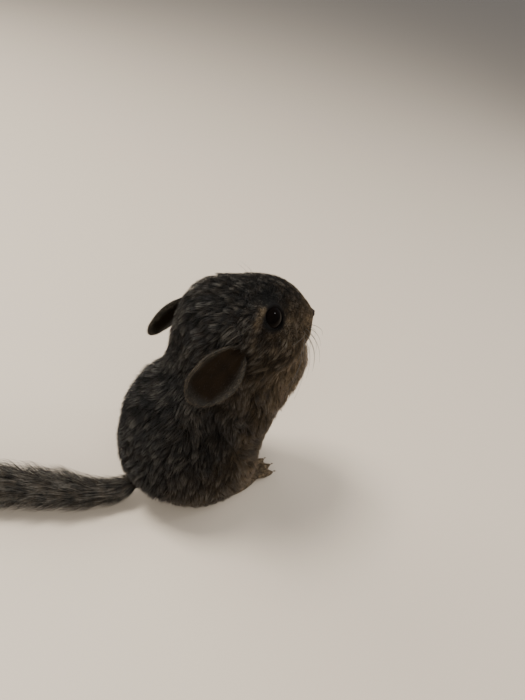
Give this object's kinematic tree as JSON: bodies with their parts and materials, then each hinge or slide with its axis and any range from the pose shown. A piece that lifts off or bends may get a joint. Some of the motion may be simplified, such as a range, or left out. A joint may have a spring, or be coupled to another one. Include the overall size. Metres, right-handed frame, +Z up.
{
  "type": "chinchilla",
  "caption": "Life-size young grey chinchilla, sitting up on its haunches with its ears laid back and a bristly tail stretched out on the floor.",
  "frame": {"origin": "middle of the flat underside of the seat, on the floor", "axes": "+X the way the chinchilla faces, +Y its left, +Z up"},
  "size_m": [0.1915, 0.0754, 0.1312],
  "materials": {
    "back_fur": "dense soft charcoal fur, flecked with lighter grey tips",
    "chest_fur": "fluffy beige grey fur of the chest, belly and flanks",
    "tail_hair": "long bristly dark grey hair with pale tips",
    "ear_skin": "thin, nearly bare brown grey skin",
    "nose_skin": "matt pale brown skin",
    "paw_skin": "pale pinkish skin under very short pale hair",
    "eye": "wet, glossy black"
  },
  "bodies": {
    "root": {"head": "back_fur", "neck": "back_fur", "torso": "back_fur", "foreleg_left": "chest_fur", "foreleg_right": "chest_fur", "hindleg_left": "chest_fur", "hindleg_right": "chest_fur", "forepaw_left": "paw_skin", "forepaw_right": "paw_skin", "hindfoot_left": "paw_skin", "hindfoot_right": "paw_skin", "ear_left": "ear_skin", "ear_right": "ear_skin", "eye_left": "eye", "eye_right": "eye", "nose": "nose_skin", "tail_root": "tail_hair", "tail_middle": "tail_hair", "tail_tip": "tail_hair"}
  },
  "joints": []
}
